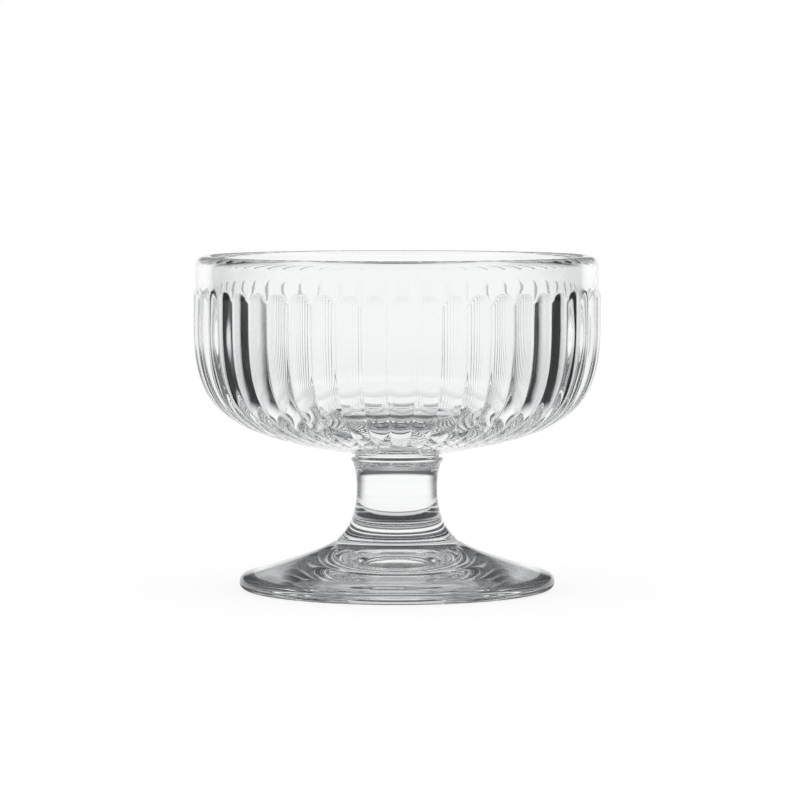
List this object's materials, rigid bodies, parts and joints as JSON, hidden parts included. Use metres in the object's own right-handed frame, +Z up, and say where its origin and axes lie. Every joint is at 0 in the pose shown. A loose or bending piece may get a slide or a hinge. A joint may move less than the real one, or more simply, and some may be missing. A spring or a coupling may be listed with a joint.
{
  "type": "dessert coupe",
  "caption": "Footed dessert coupe of clear pressed glass: a fluted bowl with a plain rim band on a collar, a short waisted stem and a broad round foot.",
  "frame": {"origin": "on the axis, at the level of the table that the foot stands on", "axes": "+Z up along the axis of the coupe, -Y towards the viewer"},
  "size_m": [0.104, 0.104, 0.085],
  "materials": {
    "clear_glass": "clear colourless pressed glass, fire polished"
  },
  "bodies": {
    "root": {"bowl": "clear_glass", "collar": "clear_glass", "stem": "clear_glass", "foot": "clear_glass"}
  },
  "joints": []
}
